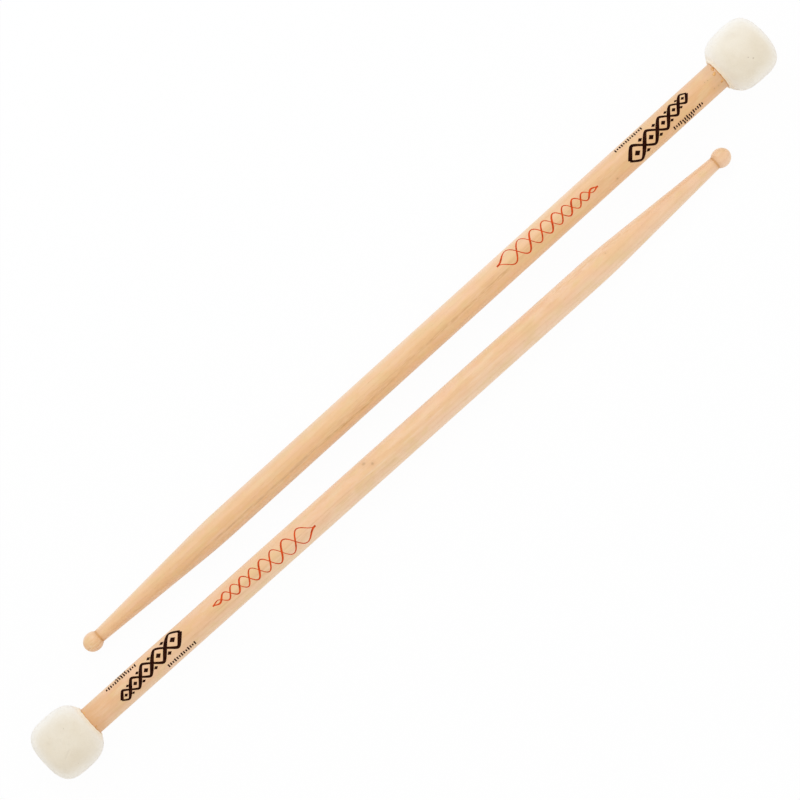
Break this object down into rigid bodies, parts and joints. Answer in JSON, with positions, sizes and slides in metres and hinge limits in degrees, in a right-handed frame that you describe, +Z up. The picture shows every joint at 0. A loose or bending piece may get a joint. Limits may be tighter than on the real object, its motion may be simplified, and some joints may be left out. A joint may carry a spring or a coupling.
{
  "type": "mallet drumsticks",
  "caption": "Turned wooden drumsticks with a round bead tip at one end and a soft felt mallet head on the butt, lying side by side and head to tail.",
  "frame": {"origin": "on the ground, under the middle of the pair's bounding box", "axes": "+X along the sticks, towards the head of the first stick; +Y from the second stick to the first; +Z up from the ground the sticks lie on"},
  "size_m": [0.4654, 0.058, 0.0298],
  "materials": {
    "hickory": "thin satin lacquer over fine straight grain",
    "maple": "turned, unfinished",
    "liner_felt": "firm grey felt",
    "cover_felt": "dense off-white felt with a short nap",
    "waxed_thread": "waxed thread",
    "dark_ink": "thin dark brown printing ink on the shaft",
    "red_ink": "thin red printing ink on the shaft",
    "amber_glue": "dried amber glue where the cover meets the shaft"
  },
  "bodies": {
    "stick_1": {"shaft_1": "hickory", "head_core_1": "maple", "felt_liner_1": "liner_felt", "felt_cover_1": "cover_felt", "draw_thread_1": "waxed_thread"},
    "stick_2": {"shaft_2": "hickory", "head_core_2": "maple", "felt_liner_2": "liner_felt", "felt_cover_2": "cover_felt", "draw_thread_2": "waxed_thread"}
  },
  "joints": [
    {"name": "stick_2_lift", "type": "slide", "parent": "stick_1", "child": "stick_2", "axis": [0, 0, 1], "range_m": [0, 0.12]}
  ]
}
